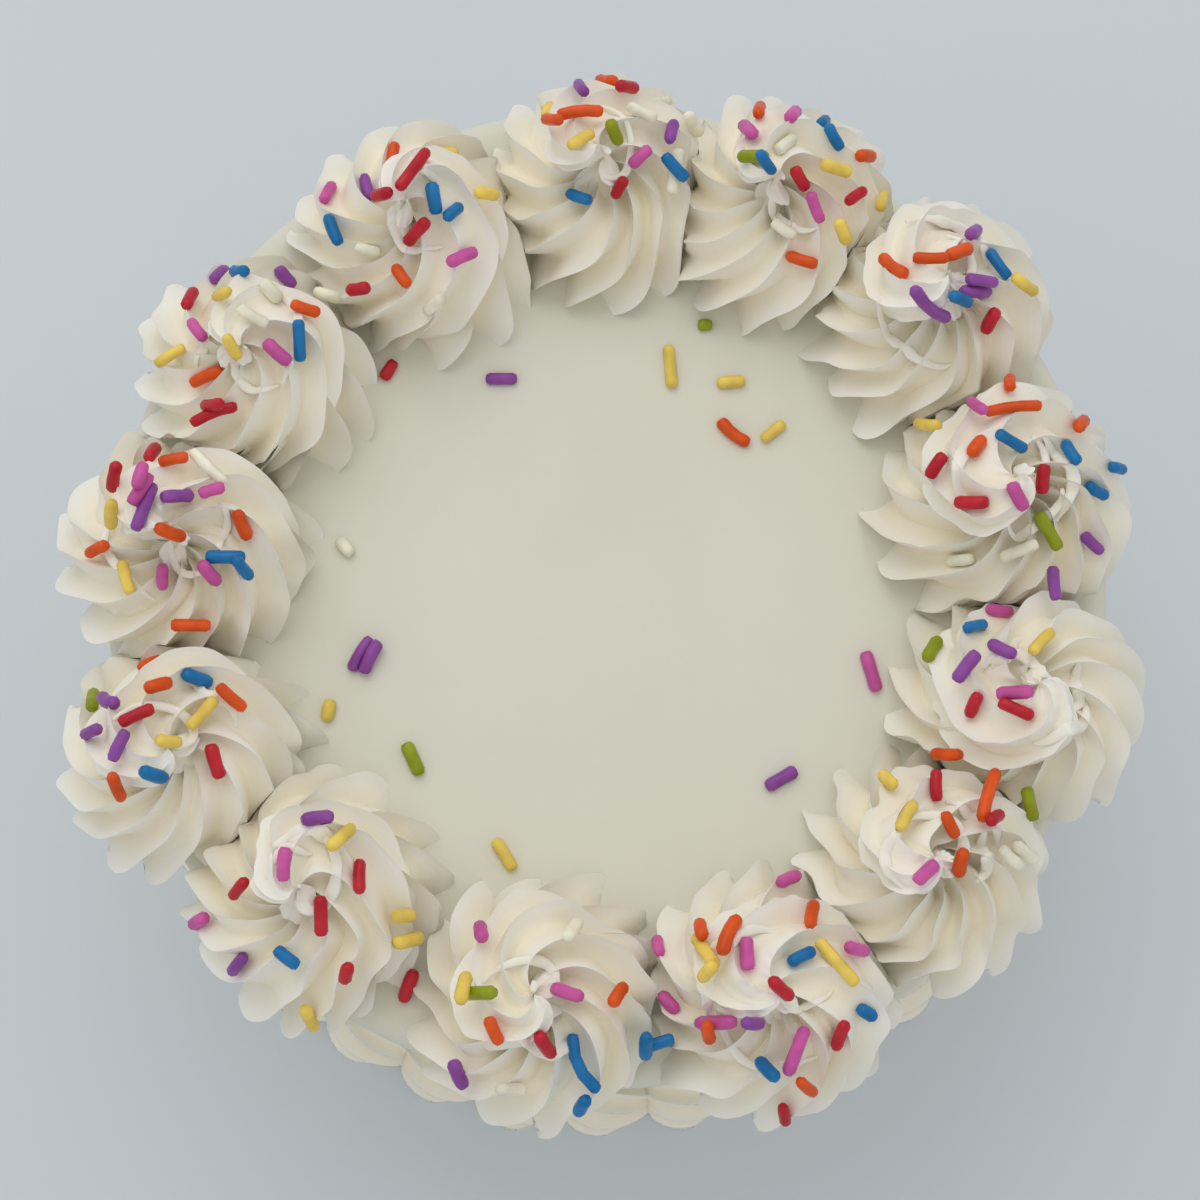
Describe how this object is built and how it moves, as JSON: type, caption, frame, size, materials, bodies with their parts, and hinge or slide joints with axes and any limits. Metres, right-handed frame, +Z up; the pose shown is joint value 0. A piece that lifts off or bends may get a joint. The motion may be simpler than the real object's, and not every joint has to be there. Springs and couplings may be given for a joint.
{
  "type": "vanilla cake",
  "caption": "Round vanilla cake iced smooth, with a ring of piped swirls on top, a shell border round its foot and rod-shaped sugar sprinkles.",
  "frame": {"origin": "the middle of the flat underside, on the surface that the cake stands on", "axes": "+Z up, -Y towards the viewer's side of the picture, +X to the viewer's right"},
  "size_m": [0.173, 0.1738, 0.1029],
  "materials": {
    "smooth_icing": "smoothed cream-white vanilla buttercream, satin",
    "piped_icing": "piped cream-white vanilla buttercream with sharp star ridges, soft sheen",
    "sprinkle_orange": "orange sugar sprinkle, low gloss",
    "sprinkle_red": "red sugar sprinkle, low gloss",
    "sprinkle_blue": "blue sugar sprinkle, low gloss",
    "sprinkle_purple": "purple sugar sprinkle, low gloss",
    "sprinkle_pink": "pink sugar sprinkle, low gloss",
    "sprinkle_yellow": "yellow sugar sprinkle, low gloss",
    "sprinkle_green": "green sugar sprinkle, low gloss",
    "sprinkle_white": "white sugar sprinkle, low gloss"
  },
  "bodies": {
    "root": {"cake_body": "smooth_icing", "foot_border": "piped_icing", "swirl_01": "piped_icing", "swirl_02": "piped_icing", "swirl_03": "piped_icing", "swirl_04": "piped_icing", "swirl_05": "piped_icing", "swirl_06": "piped_icing", "swirl_07": "piped_icing", "swirl_08": "piped_icing", "swirl_09": "piped_icing", "swirl_10": "piped_icing", "swirl_11": "piped_icing", "swirl_12": "piped_icing", "swirl_13": "piped_icing"}
  },
  "joints": []
}
